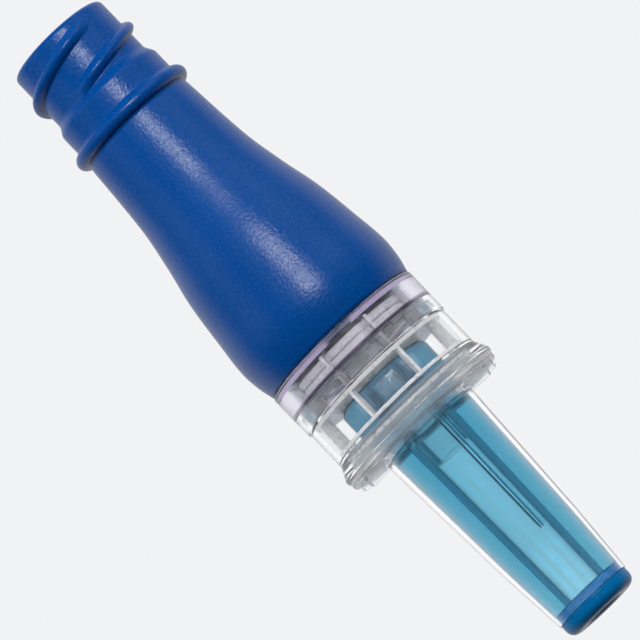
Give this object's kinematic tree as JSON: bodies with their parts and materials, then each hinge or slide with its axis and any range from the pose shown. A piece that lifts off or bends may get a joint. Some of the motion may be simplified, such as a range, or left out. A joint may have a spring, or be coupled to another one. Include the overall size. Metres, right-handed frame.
{
  "type": "pipette filler bulb",
  "caption": "Hand bulb with a threaded neck on a clear valve housing, with a nose cone and elastomer sleeve that grip a pipette.",
  "frame": {"origin": "centre of the lip's lower face, where a pipette goes in", "axes": "+Z along the common axis, from the pipette socket up to the open neck"},
  "size_m": [0.0354, 0.0354, 0.143],
  "materials": {
    "blue_elastomer": "satin",
    "deep_blue_silicone": "satin",
    "light_blue_silicone": "satin",
    "clear_plastic": "gloss",
    "frosted_plastic": "satin",
    "membrane": "matte",
    "pale_silicone": "satin"
  },
  "bodies": {
    "nosepiece": {"nose_cone": "clear_plastic", "holder_sleeve": "light_blue_silicone", "lip_seal": "deep_blue_silicone", "cone_o_ring": "pale_silicone", "sleeve_washer": "pale_silicone"},
    "housing": {"valve_housing": "clear_plastic", "valve_cage": "frosted_plastic", "air_tube": "clear_plastic", "filter_grid_lower": "frosted_plastic", "filter_membrane": "membrane", "filter_gasket": "pale_silicone", "filter_grid_upper": "frosted_plastic"},
    "cap": {"housing_cap": "clear_plastic", "spigot_o_ring": "pale_silicone"},
    "squeeze_bulb": {"bulb": "blue_elastomer"},
    "check_disc": {"valve_disc": "pale_silicone"}
  },
  "joints": [
    {"name": "housing_pull", "type": "slide", "parent": "nosepiece", "child": "housing", "axis": [0, 0, 1], "range_m": [0, 0.02]},
    {"name": "cap_turn", "type": "hinge", "parent": "housing", "child": "cap", "pos_m": [0, 0, 0.061], "axis": [0, 0, 1], "range_deg": [0, 50]},
    {"name": "bulb_pull", "type": "slide", "parent": "cap", "child": "squeeze_bulb", "axis": [0, 0, 1], "range_m": [0, 0.012]},
    {"name": "disc_lift", "type": "slide", "parent": "housing", "child": "check_disc", "axis": [0, 0, 1], "range_m": [0, 0.0007]}
  ]
}
